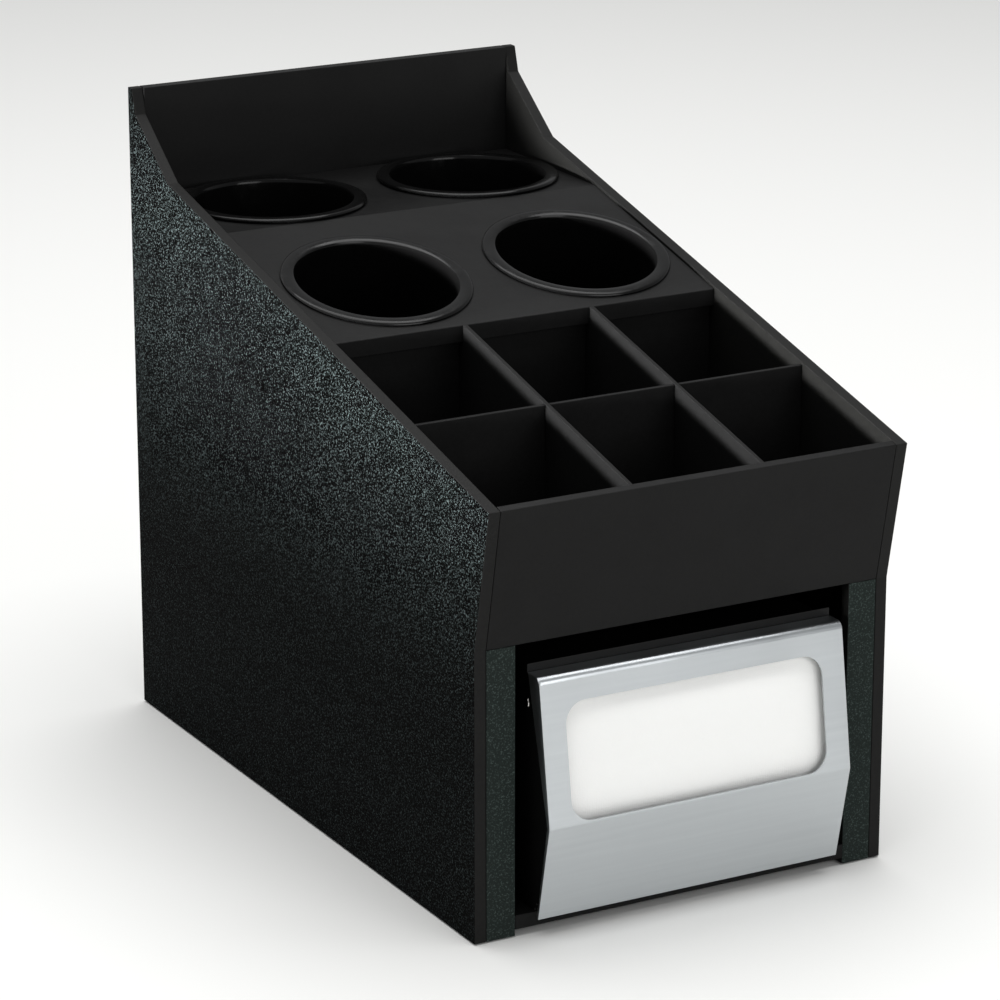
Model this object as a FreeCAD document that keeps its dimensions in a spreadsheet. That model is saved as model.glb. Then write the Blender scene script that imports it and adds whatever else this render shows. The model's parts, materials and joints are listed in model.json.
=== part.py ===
import FreeCAD, Part
import math
import os
import Sketcher

# Countertop organizer with a napkin dispenser in its front: a wedge-shaped cabinet of plastic
# sheet, four cutlery cups in a bent deck, six sachet bins, and a sheet-metal napkin housing
# whose bright face plate swings down for loading.
# Millimetres, +X right, +Y to the back, +Z up. The origin is under the middle of the whole
# object, on the surface its feet stand on.

SIZES = {
    # cabinet
    "overall_width": 289.0,
    "body_depth": 479.0,
    "back_height": 432.0,
    "panel_thick": 8.0,
    "panel_lift": 0.8,
    "slope_front_height": 281.0,
    "slope_ratio": 0.2335,
    "shoulder_flat": 6.0,
    "shoulder_step_depth": 11.0,
    "shoulder_step_drop": 17.0,
    "shoulder_foot": 60.0,
    "fascia_bottom": 186.0,
    "fascia_lean": 18.0,
    "fascia_thick": 6.0,
    "stile_width": 19.8,
    "stile_thick": 8.0,
    "base_bottom": 5.0,
    "base_thick": 9.0,
    "glue_gap": 0.1,
    "cut_margin": 10.0,
    # cutlery deck and cups
    "deck_thick": 5.0,
    "deck_drop": 1.5,
    "deck_lip_height": 11.0,
    "deck_lip_margin": 5.5,
    "cup_rim_width": 7.0,
    "cup_rim_thick": 3.0,
    "cup_rim_round": 0.9,
    "cup_radius": 54.5,
    "cup_taper": 3.3,
    "cup_wall": 2.2,
    "cup_floor": 2.5,
    "cup_depth": 130.0,
    "cup_hole_clearance": 0.6,
    "cup_seat_gap": 0.1,
    "cup_side_gap": 2.5,
    "cup_back_gap": 0.5,
    "cup_row_pitch": 148.0,
    # sachet bins
    "bin_depth": 75.0,
    "bin_floor_thick": 4.0,
    "riser_thick": 5.0,
    "divider_thick": 3.2,
    "divider_drop": 1.2,
    "cross_divider_share": 0.464,
    "slot_clearance": 0.2,
    # napkin housing
    "housing_side_gap": 13.7,
    "housing_front_gap": 1.0,
    "housing_depth": 300.0,
    "housing_top": 165.0,
    "housing_sheet": 1.2,
    "lid_lip_height": 6.0,
    "lid_setback": 5.0,
    # face plate
    "face_side_gap": 1.8,
    "face_sheet": 1.2,
    "face_rise": 1.0,
    "face_top_reach": 9.0,
    "face_ridge": 75.0,
    "face_ridge_reach": 22.6,
    "face_drop": 1.5,
    "face_bottom_reach": 9.0,
    "face_foot_return": 1.9,
    "face_ridge_return": 2.9,
    "window_side_margin": 16.0,
    "window_top_margin": 17.0,
    "window_ridge_margin": 1.0,
    "window_corner": 14.0,
    "hinge_height": 19.0,
    "hinge_reach": 5.0,
    "hinge_pin_radius": 1.5,
    "hinge_clearance": 0.06,
    "ear_thick": 1.5,
    "ear_radius": 3.5,
    "ear_bevel_share": 0.6,
    "ear_wall_rise": 10.5,
    "ear_side_gap": 3.4,
    "rivet_head_radius": 3.2,
    "rivet_head_thick": 1.3,
    "rivet_tail": 0.7,
    # catch springs
    "catch_drop": 20.4,
    "catch_rivet_depth": 10.9,
    "catch_thick": 0.8,
    "catch_width": 12.0,
    "catch_reach": 9.0,
    "catch_tail": 22.0,
    "nub_radius": 2.0,
    "nub_reach": 5.0,
    # napkin stack, follower and its springs
    "stack_front_gap": 4.2,
    "stack_foot_setback": 2.0,
    "stack_side_gap": 6.0,
    "stack_headroom": 7.0,
    "stack_depth": 130.0,
    "follower_side_gap": 5.0,
    "follower_headroom": 9.2,
    "follower_flange": 14.0,
    "spring_radius": 11.0,
    "spring_wire_radius": 0.9,
    "spring_spacing": 100.0,
    "running_gap": 0.3,
    # feet and screws
    "foot_radius": 9.0,
    "foot_tip_radius": 7.7,
    "foot_inset": 26.0,
    "screw_radius": 2.0,
    "screw_head_radius": 4.2,
    "screw_head_thick": 2.4,
    "screw_side_inset": 30.0,
    "screw_rear_inset": 30.0,
    "front_screw_row": 60.0,
}

doc = FreeCAD.newDocument("napkin_dispenser")
sheet = doc.addObject("Spreadsheet::Sheet", "Sizes")
for row, (alias, number) in enumerate(SIZES.items(), start=1):
    sheet.set(f"A{row}", alias)
    sheet.set(f"B{row}", str(number))
    sheet.setAlias(f"B{row}", alias)
doc.recompute()


class Size:
    """A length with its value and the spreadsheet expression that gives it."""

    def __init__(self, value, text):
        self.value = value
        self.text = text

    @staticmethod
    def of(other):
        return other if isinstance(other, Size) else Size(float(other), f"({float(other):g})")

    def __add__(self, other):
        other = Size.of(other)
        return Size(self.value + other.value, f"({self.text} + {other.text})")

    def __sub__(self, other):
        other = Size.of(other)
        return Size(self.value - other.value, f"({self.text} - {other.text})")

    def __mul__(self, other):
        other = Size.of(other)
        return Size(self.value * other.value, f"({self.text} * {other.text})")

    def __truediv__(self, other):
        other = Size.of(other)
        return Size(self.value / other.value, f"({self.text} / {other.text})")

    def __neg__(self):
        return Size(-self.value, f"(0 - {self.text})")


def size(alias):
    return Size(SIZES[alias], f"Sizes.{alias}")


ZERO = Size(0.0, "0")
front = (size("face_ridge_reach") - size("body_depth")) / 2
back = (size("face_ridge_reach") + size("body_depth")) / 2
half_width = size("overall_width") / 2
inner_half = half_width - size("panel_thick")
base_top = size("base_bottom") + size("base_thick")
cup_rim_radius = size("cup_radius") + size("cup_rim_width")
cup_x = inner_half - size("cup_side_gap") - cup_rim_radius
rear_cup_y = back - size("panel_thick") - size("cup_back_gap") - cup_rim_radius
front_cup_y = rear_cup_y - size("cup_row_pitch")
deck_bend_y = rear_cup_y - cup_rim_radius
deck_lip_y = front_cup_y - cup_rim_radius - size("deck_lip_margin")
housing_half = inner_half - size("stile_width") - size("housing_side_gap")
housing_bottom = base_top + size("running_gap")
housing_rear = front + size("housing_depth")
housing_floor = housing_bottom + size("housing_sheet")
face_half = housing_half + size("face_side_gap") + size("face_sheet")
face_top = size("housing_top") + size("face_rise")
face_bottom = base_top - size("face_drop")
ear_outer = face_half - size("face_sheet") - size("ear_side_gap")
pin_y = front - size("hinge_reach")
pin_z = size("hinge_height")
pin_hole = size("hinge_pin_radius") + size("hinge_clearance")
catch_z = size("housing_top") - size("catch_drop")
finished_parts = []


def slope_height(y):
    """Height of the cabinet's sloping top at a place along Y."""
    return size("slope_front_height") + (y - front) * size("slope_ratio")


def fascia_face(z):
    """Y of the fascia's leaning front face at a height."""
    top_y = front - size("fascia_lean")
    rise = slope_height(top_y) - size("fascia_bottom")
    return front - size("fascia_lean") * (z - size("fascia_bottom")) / rise


def add_polygon(body, plane, name, points):
    """A closed outline on one of the body's origin planes, each corner bound to the sheet."""
    sketch = body.newObject("Sketcher::SketchObject", name)
    support = [f for f in body.Origin.OriginFeatures if f.Role == plane][0]
    sketch.AttachmentSupport = [(support, "")]
    sketch.MapMode = "FlatFace"
    count = len(points)
    for i in range(count):
        start = FreeCAD.Vector(points[i][0].value, points[i][1].value, 0)
        end = FreeCAD.Vector(points[(i + 1) % count][0].value, points[(i + 1) % count][1].value, 0)
        sketch.addGeometry(Part.LineSegment(start, end), False)
    for i in range(count):
        sketch.addConstraint(Sketcher.Constraint("Coincident", i, 2, (i + 1) % count, 1))
    for i, corner in enumerate(points):
        for kind, coordinate in zip(("DistanceX", "DistanceY"), corner):
            index = sketch.addConstraint(
                Sketcher.Constraint(kind, -1, 1, i, 1, coordinate.value))
            sketch.setExpression(f"Constraints[{index}]", coordinate.text)
    return sketch


def add_circle(body, plane, name, centre, radius):
    """A circle on one of the body's origin planes, bound to the sheet."""
    sketch = body.newObject("Sketcher::SketchObject", name)
    support = [f for f in body.Origin.OriginFeatures if f.Role == plane][0]
    sketch.AttachmentSupport = [(support, "")]
    sketch.MapMode = "FlatFace"
    middle = FreeCAD.Vector(centre[0].value, centre[1].value, 0)
    sketch.addGeometry(Part.Circle(middle, FreeCAD.Vector(0, 0, 1), radius.value), False)
    for kind, coordinate in zip(("DistanceX", "DistanceY"), centre):
        index = sketch.addConstraint(Sketcher.Constraint(kind, -1, 1, 0, 3, coordinate.value))
        sketch.setExpression(f"Constraints[{index}]", coordinate.text)
    index = sketch.addConstraint(Sketcher.Constraint("Radius", 0, radius.value))
    sketch.setExpression(f"Constraints[{index}]", radius.text)
    return sketch


def add_rounded_rectangle(body, plane, name, x_range, z_range, radius):
    """A rectangle with round corners on one of the body's origin planes."""
    sketch = body.newObject("Sketcher::SketchObject", name)
    support = [f for f in body.Origin.OriginFeatures if f.Role == plane][0]
    sketch.AttachmentSupport = [(support, "")]
    sketch.MapMode = "FlatFace"
    x_low, x_high = x_range
    z_low, z_high = z_range
    corners = [(x_low, z_low, 180), (x_high, z_low, 270), (x_high, z_high, 0), (x_low, z_high, 90)]
    inward = [(1, 1), (-1, 1), (-1, -1), (1, -1)]
    for (x, z, start_angle), (x_sign, z_sign) in zip(corners, inward):
        centre = FreeCAD.Vector(x.value + x_sign * radius.value, z.value + z_sign * radius.value, 0)
        circle = Part.Circle(centre, FreeCAD.Vector(0, 0, 1), radius.value)
        sketch.addGeometry(Part.ArcOfCircle(circle, math.radians(start_angle),
                                            math.radians(start_angle + 90)), False)
    ends = [sketch.getPoint(i, 2) for i in range(4)]
    starts = [sketch.getPoint(i, 1) for i in range(4)]
    for i in range(4):
        sketch.addGeometry(Part.LineSegment(ends[i], starts[(i + 1) % 4]), False)
    for i in range(4):
        sketch.addConstraint(Sketcher.Constraint("Tangent", i, 2, 4 + i, 1))
        sketch.addConstraint(Sketcher.Constraint("Tangent", 4 + i, 2, (i + 1) % 4, 1))
    for line, kind in ((4, "Horizontal"), (5, "Vertical"), (6, "Horizontal"), (7, "Vertical")):
        sketch.addConstraint(Sketcher.Constraint(kind, line))
    for arc in (1, 2, 3):
        sketch.addConstraint(Sketcher.Constraint("Equal", 0, arc))
    bound = [("Radius", (0,), radius), ("DistanceY", (-1, 1, 4, 1), z_low),
             ("DistanceX", (-1, 1, 5, 1), x_high), ("DistanceY", (-1, 1, 6, 1), z_high),
             ("DistanceX", (-1, 1, 7, 1), x_low)]
    for kind, where, length in bound:
        index = sketch.addConstraint(Sketcher.Constraint(kind, *where, length.value))
        sketch.setExpression(f"Constraints[{index}]", length.text)
    return sketch


def new_body(label):
    body = doc.addObject("PartDesign::Body", label)
    body.Label = label
    finished_parts.append(body)
    return body


def pad_between(body, sketch, low, high):
    """Pads a sketch from one distance to another along its plane's normal."""
    sketch.setExpression("AttachmentOffset.Base.z", low.text)
    pad = body.newObject("PartDesign::Pad", sketch.Name + "Pad")
    pad.Profile = sketch
    pad.setExpression("Length", (high - low).text)
    sketch.Visibility = False
    return pad


def pocket_between(body, sketch, low, high):
    """Cuts a sketch out from one distance to another along its plane's normal."""
    sketch.setExpression("AttachmentOffset.Base.z", low.text)
    pocket = body.newObject("PartDesign::Pocket", sketch.Name + "Pocket")
    pocket.Profile = sketch
    pocket.Reversed = True
    pocket.setExpression("Length", (high - low).text)
    check_cut(body)


def check_cut(body):
    """Stops the build if the body's last pocket missed it."""
    doc.recompute()
    removed = body.Tip.BaseFeature.Shape.Volume - body.Tip.Shape.Volume
    if removed <= 1e-3:
        raise RuntimeError(f"{body.Label}: {body.Tip.Name} cut nothing")


def profile_plate(label, points, low, high, plane="YZ_Plane"):
    """A plate: an outline on a plane, given thickness along the plane's normal."""
    body = new_body(label)
    pad_between(body, add_polygon(body, plane, label + "Outline", points), low, high)
    doc.recompute()
    return body


def box_plate(label, x_range, y_range, z_range):
    """A plain rectangular panel."""
    corners = [(x_range[0], y_range[0]), (x_range[1], y_range[0]),
               (x_range[1], y_range[1]), (x_range[0], y_range[1])]
    return profile_plate(label, corners, z_range[0], z_range[1], "XY_Plane")


def fillet_edges(body, radius, wanted):
    """Rounds the edges of the body's tip that the test picks."""
    doc.recompute()
    tip = body.Tip
    names = [f"Edge{i}" for i, edge in enumerate(tip.Shape.Edges, start=1) if wanted(edge)]
    if not names:
        raise RuntimeError(f"{body.Label}: no edge to round")
    fillet = body.newObject("PartDesign::Fillet", body.Name + "Fillet")
    fillet.Base = (tip, names)
    fillet.setExpression("Radius", radius.text)
    doc.recompute()
    return fillet


X_AXIS = FreeCAD.Vector(1, 0, 0)
Z_AXIS = FreeCAD.Vector(0, 0, 1)


# --- cabinet panels -----------------------------------------------------------------------

def make_side_panels():
    """Two wedge-shaped side panels, leaning forward above the napkin opening."""
    foot_y = back - size("shoulder_foot")
    outline = [
        (front, size("panel_lift")),
        (back, size("panel_lift")),
        (back, size("back_height")),
        (back - size("shoulder_flat"), size("back_height")),
        (back - size("shoulder_step_depth"), size("back_height") - size("shoulder_step_drop")),
        (foot_y, slope_height(foot_y)),
        (front - size("fascia_lean"), slope_height(front - size("fascia_lean"))),
        (front, size("fascia_bottom")),
    ]
    profile_plate("left_side_panel", outline, -half_width, -inner_half)
    profile_plate("right_side_panel", outline, inner_half, half_width)


def screw_places():
    """The four screws that hold the housing down on the base panel."""
    x = housing_half - size("screw_side_inset")
    places = []
    for y in (front + size("front_screw_row"), housing_rear - size("screw_rear_inset")):
        for side in (x, -x):
            places.append((side, y))
    return places


def make_back_and_base():
    """Back panel standing on the base panel, whose front edge shows between the stiles."""
    gap = size("glue_gap")
    margin = size("cut_margin")
    edge = inner_half - gap
    box_plate("back_panel", (-edge, edge), (back - size("panel_thick"), back),
              (base_top, size("back_height")))
    notch_x = inner_half - size("stile_width") - gap
    notch_y = front + size("stile_thick") + gap
    outline = [(-notch_x, front), (notch_x, front), (notch_x, notch_y), (edge, notch_y),
               (edge, back), (-edge, back), (-edge, notch_y), (-notch_x, notch_y)]
    body = profile_plate("base_panel", outline, size("base_bottom"), base_top, "XY_Plane")
    for i, place in enumerate(screw_places()):
        hole = add_circle(body, "XY_Plane", f"BaseScrewHole{i}", place,
                          size("screw_radius") + size("hinge_clearance"))
        pocket_between(body, hole, size("base_bottom") - margin, base_top + margin)


def make_front():
    """Leaning fascia above two narrow stiles."""
    gap = size("glue_gap")
    edge = inner_half - gap
    top_y = front - size("fascia_lean")
    inner_top = slope_height(top_y + size("fascia_thick"))
    outline = [
        (front, size("fascia_bottom")),
        (front + size("fascia_thick"), size("fascia_bottom")),
        (fascia_face(inner_top) + size("fascia_thick"), inner_top),
        (top_y, slope_height(top_y)),
    ]
    profile_plate("front_fascia", outline, -edge, edge)
    inner = inner_half - size("stile_width")
    y_range = (front, front + size("stile_thick"))
    z_range = (size("panel_lift"), size("fascia_bottom"))
    box_plate("left_front_stile", (-edge, -inner), y_range, z_range)
    box_plate("right_front_stile", (inner, edge), y_range, z_range)


# --- cutlery deck and cups ----------------------------------------------------------------

def deck_top(y):
    return slope_height(y) - size("deck_drop")


def make_deck():
    """One bent sheet: a front lip, a part parallel to the slope and a level rear part."""
    edge = inner_half - size("glue_gap")
    rear_y = back - size("panel_thick") - size("glue_gap")
    thick = size("deck_thick")
    level = deck_top(deck_bend_y)
    inner_y = deck_lip_y + thick
    outline = [
        (deck_lip_y, deck_top(deck_lip_y) - size("deck_lip_height")),
        (inner_y, deck_top(deck_lip_y) - size("deck_lip_height")),
        (inner_y, deck_top(inner_y) - thick),
        (deck_bend_y, level - thick),
        (rear_y, level - thick),
        (rear_y, level),
        (deck_bend_y, level),
        (deck_lip_y, deck_top(deck_lip_y)),
    ]
    body = new_body("cutlery_deck")
    pad_between(body, add_polygon(body, "YZ_Plane", "DeckOutline", outline), -edge, edge)
    for name, placement in cup_places():
        hole = body.newObject("Sketcher::SketchObject", "Hole_" + name)
        hole.AttachmentSupport = [(xy_plane(body), "")]
        hole.MapMode = "FlatFace"
        hole.AttachmentOffset = placement
        radius = size("cup_radius") + size("cup_hole_clearance")
        hole.addGeometry(
            Part.Circle(FreeCAD.Vector(0, 0, 0), FreeCAD.Vector(0, 0, 1), radius.value), False)
        hole.addConstraint(Sketcher.Constraint("Coincident", 0, 3, -1, 1))
        index = hole.addConstraint(Sketcher.Constraint("Radius", 0, radius.value))
        hole.setExpression(f"Constraints[{index}]", radius.text)
        pocket = body.newObject("PartDesign::Pocket", "Pocket_" + name)
        pocket.Profile = hole
        pocket.Midplane = True
        pocket.setExpression("Length", (thick + size("cut_margin") * 2).text)
        check_cut(body)


def xy_plane(body):
    return [f for f in body.Origin.OriginFeatures if f.Role == "XY_Plane"][0]


def cup_places():
    """Name and placement of each cup: its rim seats on the deck, its axis square to it."""
    tilt = math.degrees(math.atan(SIZES["slope_ratio"]))
    rows = (("front", front_cup_y, deck_top(front_cup_y), tilt),
            ("rear", rear_cup_y, deck_top(deck_bend_y), 0.0))
    places = []
    for row_name, y, z, angle in rows:
        for side_name, sign in (("left", -1), ("right", 1)):
            turn = FreeCAD.Rotation(X_AXIS, angle)
            base = FreeCAD.Vector(sign * cup_x.value, y.value, z.value)
            base += turn.multVec(Z_AXIS) * SIZES["cup_seat_gap"]
            places.append((f"{row_name}_{side_name}", FreeCAD.Placement(base, turn)))
    return places


def is_rim_edge(edge):
    """Whether an edge is the outer edge of a cup rim's top face."""
    return (isinstance(edge.Curve, Part.Circle)
            and abs(edge.Curve.Radius - cup_rim_radius.value) < 1e-3
            and edge.Curve.Center.z > SIZES["cup_rim_thick"] / 2)


def make_cups():
    """Four moulded cutlery cups that hang in the deck by their rims and lift straight out."""
    wall = size("cup_wall")
    outer = size("cup_radius")
    depth = size("cup_depth")
    thick = size("cup_rim_thick")
    taper = size("cup_taper")
    for name, placement in cup_places():
        outline = [
            (ZERO, -depth),
            (outer - taper, -depth),
            (outer, ZERO),
            (cup_rim_radius, ZERO),
            (cup_rim_radius, thick),
            (outer - wall, thick),
            (outer - wall - taper, -depth + size("cup_floor")),
            (ZERO, -depth + size("cup_floor")),
        ]
        body = new_body(f"{name}_cutlery_cup")
        sketch = add_polygon(body, "XZ_Plane", f"{name}CupSection", outline)
        turn = body.newObject("PartDesign::Revolution", f"{name}CupTurn")
        turn.Profile = sketch
        turn.ReferenceAxis = (sketch, ["V_Axis"])
        turn.Angle = 360
        doc.recompute()
        fillet_edges(body, size("cup_rim_round"), is_rim_edge)
        body.Placement = placement


# --- sachet bins --------------------------------------------------------------------------

def floor_top(y):
    return slope_height(y) - size("bin_depth")


def make_bins():
    """A sloping floor, a riser behind it and three dividers halved into each other."""
    gap = size("glue_gap")
    edge = inner_half - gap
    riser_y = deck_lip_y + size("deck_thick")
    riser_back = riser_y + size("riser_thick")
    thick = size("bin_floor_thick")

    start_y = fascia_face(floor_top(front)) + size("fascia_thick") + gap * 2
    floor_low = floor_top(start_y) - thick
    floor_outline = [
        (fascia_face(floor_low) + size("fascia_thick") + gap * 2, floor_low),
        (riser_back, floor_top(riser_back) - thick),
        (riser_back, floor_top(riser_back)),
        (start_y, floor_top(start_y)),
    ]
    profile_plate("bin_floor", floor_outline, -edge, edge)

    riser_outline = [
        (riser_y + gap, floor_top(riser_y) + gap),
        (riser_back, floor_top(riser_back) + gap),
        (riser_back, deck_top(riser_back) - size("deck_thick") - gap),
        (riser_y + gap, deck_top(riser_y) - size("deck_thick") - gap),
    ]
    profile_plate("bin_riser", riser_outline, -edge, edge)

    def rim_top(y):
        return slope_height(y) - size("divider_drop")

    cross_y = front + (deck_lip_y - front) * size("cross_divider_share")
    half_thick = size("divider_thick") / 2
    slot_half = half_thick + size("slot_clearance")
    joint_z = floor_top(cross_y) + size("bin_depth") / 2
    front_top = rim_top(front - size("fascia_lean") + size("fascia_thick"))
    lip_y = deck_lip_y - gap
    lip_low = deck_top(lip_y) - size("deck_lip_height")
    column_outline = [
        (start_y + gap, floor_top(start_y) + gap),
        (cross_y - slot_half, floor_top(cross_y - slot_half) + gap),
        (cross_y - slot_half, joint_z + gap),
        (cross_y + slot_half, joint_z + gap),
        (cross_y + slot_half, floor_top(cross_y + slot_half) + gap),
        (riser_y - gap, floor_top(riser_y - gap) + gap),
        (riser_y - gap, lip_low - gap),
        (lip_y, lip_low - gap),
        (lip_y, rim_top(lip_y)),
        (fascia_face(front_top) + size("fascia_thick") + gap * 2, front_top),
    ]
    column_x = inner_half / 3
    for side, middle in (("left", -column_x), ("right", column_x)):
        profile_plate(f"{side}_bin_divider", column_outline, middle - half_thick,
                      middle + half_thick)

    low = floor_top(cross_y + half_thick) + gap
    high = rim_top(cross_y - half_thick)
    cross_outline = [(-edge, low), (edge, low), (edge, high)]
    for middle in (column_x, -column_x):
        cross_outline += [(middle + slot_half, high), (middle + slot_half, joint_z - gap),
                          (middle - slot_half, joint_z - gap), (middle - slot_half, high)]
    cross_outline.append((-edge, high))
    # the XZ plane's normal points to -Y
    profile_plate("cross_bin_divider", cross_outline, -(cross_y + half_thick),
                  -(cross_y - half_thick), "XZ_Plane")


# --- napkin housing -----------------------------------------------------------------------

def face_profile(shift):
    """The face plate's front line, moved back by a distance: top, ridge and bottom."""
    return [
        (front - size("face_top_reach") + shift, face_top),
        (front - size("face_ridge_reach") + shift, size("face_ridge")),
        (front - size("face_bottom_reach") + shift, face_bottom),
    ]


def make_housing():
    """Folded steel tub, its lid with an upturned lip, and its back plate."""
    sheet_t = size("housing_sheet")
    half = housing_half
    top = size("housing_top")
    lobe = size("ear_radius") - size("running_gap")
    setback = size("face_sheet") + size("running_gap") * 3
    top_line, ridge_line, _ = face_profile(setback)
    cheek_top = face_top - size("face_sheet") - size("running_gap") * 2
    lid_y = front + size("lid_setback")
    tub_y = front + size("housing_front_gap")
    margin = size("cut_margin")
    outline = [
        (tub_y, housing_bottom),
        (housing_rear, housing_bottom),
        (housing_rear, top),
        (lid_y, top),
        (lid_y, cheek_top),
        (top_line[0], cheek_top),
        ridge_line,
        (pin_y - lobe, pin_z),
        (pin_y - lobe / 2, pin_z - lobe),
        (tub_y, pin_z - lobe),
    ]
    body = new_body("napkin_housing")
    pad_between(body, add_polygon(body, "YZ_Plane", "TubOutline", outline), -half, half)
    inside = [
        (ridge_line[0] - margin, housing_floor),
        (housing_rear + margin, housing_floor),
        (housing_rear + margin, top + margin),
        (ridge_line[0] - margin, top + margin),
    ]
    cavity = add_polygon(body, "YZ_Plane", "TubCavity", inside)
    pocket_between(body, cavity, sheet_t - half, half - sheet_t)
    nub_hole = size("nub_radius") + size("running_gap") * 2
    for name, place, radius in (("PinHole", (pin_y, pin_z), pin_hole),
                                ("RivetHole", catch_rivet_place(), pin_hole),
                                ("NubHole", nub_place(), nub_hole)):
        hole = add_circle(body, "YZ_Plane", name, place, radius)
        pocket_between(body, hole, -half - margin, half + margin)
    for i, place in enumerate(screw_places()):
        hole = add_circle(body, "XY_Plane", f"TubScrewHole{i}", place,
                          size("screw_radius") + size("hinge_clearance"))
        pocket_between(body, hole, housing_bottom - margin, housing_floor + margin)

    lid = new_body("housing_lid")
    lid_sheet = [(lid_y, top), (housing_rear, top),
                 (housing_rear, top + sheet_t), (lid_y, top + sheet_t)]
    pad_between(lid, add_polygon(lid, "YZ_Plane", "LidSheet", lid_sheet), -half, half)
    lip_top = top + size("lid_lip_height")
    lip = [(lid_y, top), (lid_y + sheet_t, top), (lid_y + sheet_t, lip_top), (lid_y, lip_top)]
    pad_between(lid, add_polygon(lid, "YZ_Plane", "LidLip", lip), -face_half, face_half)

    inner = half - sheet_t - size("glue_gap")
    box_plate("housing_back_plate", (-inner, inner), (housing_rear - sheet_t, housing_rear),
              (housing_floor + size("glue_gap"), top - size("glue_gap")))


def nub_place():
    """Where the catch spring's nub grips the face's side return, seen from the side."""
    return (front - size("nub_reach"), catch_z)


def catch_rivet_place():
    """Where the catch spring is riveted to the housing wall, seen from the side."""
    return (front + size("catch_rivet_depth"), catch_z)


def make_face_plate():
    """Bright sheet-steel face: a bent front with a window, a top return, tapering sides."""
    sheet_t = size("face_sheet")
    half = face_half
    margin = size("cut_margin")
    rear_y = front + size("lid_setback") - size("running_gap") * 2
    top, ridge, bottom = face_profile(ZERO)
    outline = [
        top, ridge, bottom,
        (bottom[0] + size("face_foot_return"), bottom[1]),
        (ridge[0] + size("face_ridge_return"), ridge[1]),
        (rear_y, top[1]),
    ]
    body = new_body("napkin_face_plate")
    pad_between(body, add_polygon(body, "YZ_Plane", "FaceOutline", outline), -half, half)
    top_in, ridge_in, bottom_in = face_profile(sheet_t)
    inside = [
        (top_in[0], top_in[1] - sheet_t),
        ridge_in,
        bottom_in,
        (bottom_in[0], bottom_in[1] - margin),
        (rear_y + margin, bottom_in[1] - margin),
        (rear_y + margin, top_in[1] - sheet_t),
    ]
    cavity = add_polygon(body, "YZ_Plane", "FaceCavity", inside)
    pocket_between(body, cavity, sheet_t - half, half - sheet_t)
    window_half = half - size("window_side_margin")
    low = size("face_ridge") + size("window_ridge_margin")
    high = face_top - size("window_top_margin")
    window = add_rounded_rectangle(body, "XZ_Plane", "Window", (-window_half, window_half),
                                   (low, high), size("window_corner"))
    pocket_between(body, window, -(front + margin), -(ridge[0] - margin))

    ear_inner = ear_outer - size("ear_thick")
    radius = size("ear_radius")
    wall = face_profile(sheet_t + size("glue_gap") / 2)
    slant = (wall[1][0] - wall[2][0]) / (wall[1][1] - wall[2][1])

    def wall_y(z):
        return wall[2][0] + slant * (z - wall[2][1])

    bevel = radius * size("ear_bevel_share")
    wall_top = pin_z + size("ear_wall_rise")
    ear = [
        (wall_y(pin_z - radius), pin_z - radius),
        (pin_y + bevel, pin_z - radius),
        (pin_y + radius, pin_z - bevel),
        (pin_y + radius, pin_z + bevel),
        (pin_y + bevel, pin_z + radius),
        (wall_y(wall_top), wall_top),
    ]
    for side, low_x, high_x in (("left", -ear_outer, -ear_inner),
                                ("right", ear_inner, ear_outer)):
        ear_body = profile_plate(f"{side}_hinge_ear", ear, low_x, high_x)
        hole = add_circle(ear_body, "YZ_Plane", f"{side}EarHole", (pin_y, pin_z), pin_hole)
        pocket_between(ear_body, hole, low_x - margin, high_x + margin)


def turned_pin(label, places):
    """A group of identical rivets or screws: each a shank and a round head along an axis."""
    shapes = []
    for position, direction, shank_radius, shank_length, head_radius, head_thick in places:
        back_end = position - direction * head_thick
        head = Part.makeCylinder(head_radius, head_thick, back_end, direction)
        shank = Part.makeCylinder(shank_radius, shank_length, position, direction)
        shapes.append(head.fuse(shank).removeSplitter())
    feature = doc.addObject("Part::Feature", label)
    feature.Label = label
    feature.Shape = Part.makeCompound(shapes)
    feature.Placement = FreeCAD.Placement()
    finished_parts.append(feature)


def make_fasteners():
    """Hinge rivets, catch rivets and housing screws, each kind one group."""
    half = housing_half.value
    tail = SIZES["rivet_tail"]
    hinge_length = half - ear_outer.value + SIZES["ear_thick"] + tail
    catch_length = SIZES["housing_sheet"] + SIZES["catch_thick"] + tail
    for label, (y, z), length in (("hinge_rivets", (pin_y, pin_z), hinge_length),
                                  ("catch_rivets", catch_rivet_place(), catch_length)):
        rivets = [(FreeCAD.Vector(sign * half, y.value, z.value), FreeCAD.Vector(-sign, 0, 0),
                   SIZES["hinge_pin_radius"], length, SIZES["rivet_head_radius"],
                   SIZES["rivet_head_thick"]) for sign in (-1, 1)]
        turned_pin(label, rivets)
    length = housing_floor.value - SIZES["base_bottom"]
    screws = [(FreeCAD.Vector(x.value, y.value, SIZES["base_bottom"]), Z_AXIS,
               SIZES["screw_radius"], length, SIZES["screw_head_radius"],
               SIZES["screw_head_thick"]) for x, y in screw_places()]
    turned_pin("housing_screws", screws)


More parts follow.
